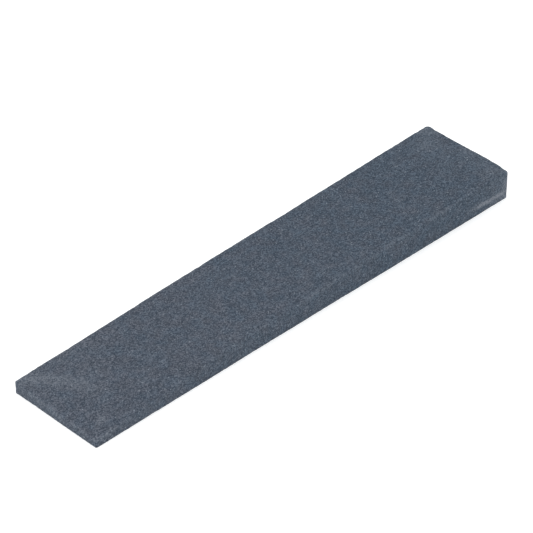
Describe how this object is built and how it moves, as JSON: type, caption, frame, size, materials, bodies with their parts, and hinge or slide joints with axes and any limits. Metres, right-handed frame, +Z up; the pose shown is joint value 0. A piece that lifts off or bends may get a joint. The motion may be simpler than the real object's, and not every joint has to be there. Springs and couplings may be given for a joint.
{
  "type": "sharpening whetstone",
  "caption": "Small tapered slip stone: a dark grey bonded abrasive bar, thick at one end and thin at the other, for honing carving gouges and knives by hand.",
  "frame": {"origin": "centre of the flat underside's rectangle, on the surface that the stone lies on", "axes": "+X along the bar towards the thick end, +Y across the bar, +Z up through its thickness"},
  "size_m": [0.1, 0.02, 0.0061],
  "materials": {
    "abrasive": "matte, fine open grain of dark blue-grey silicon carbide, with paler rubbed edges"
  },
  "bodies": {
    "root": {"slip_stone": "abrasive"}
  },
  "joints": []
}
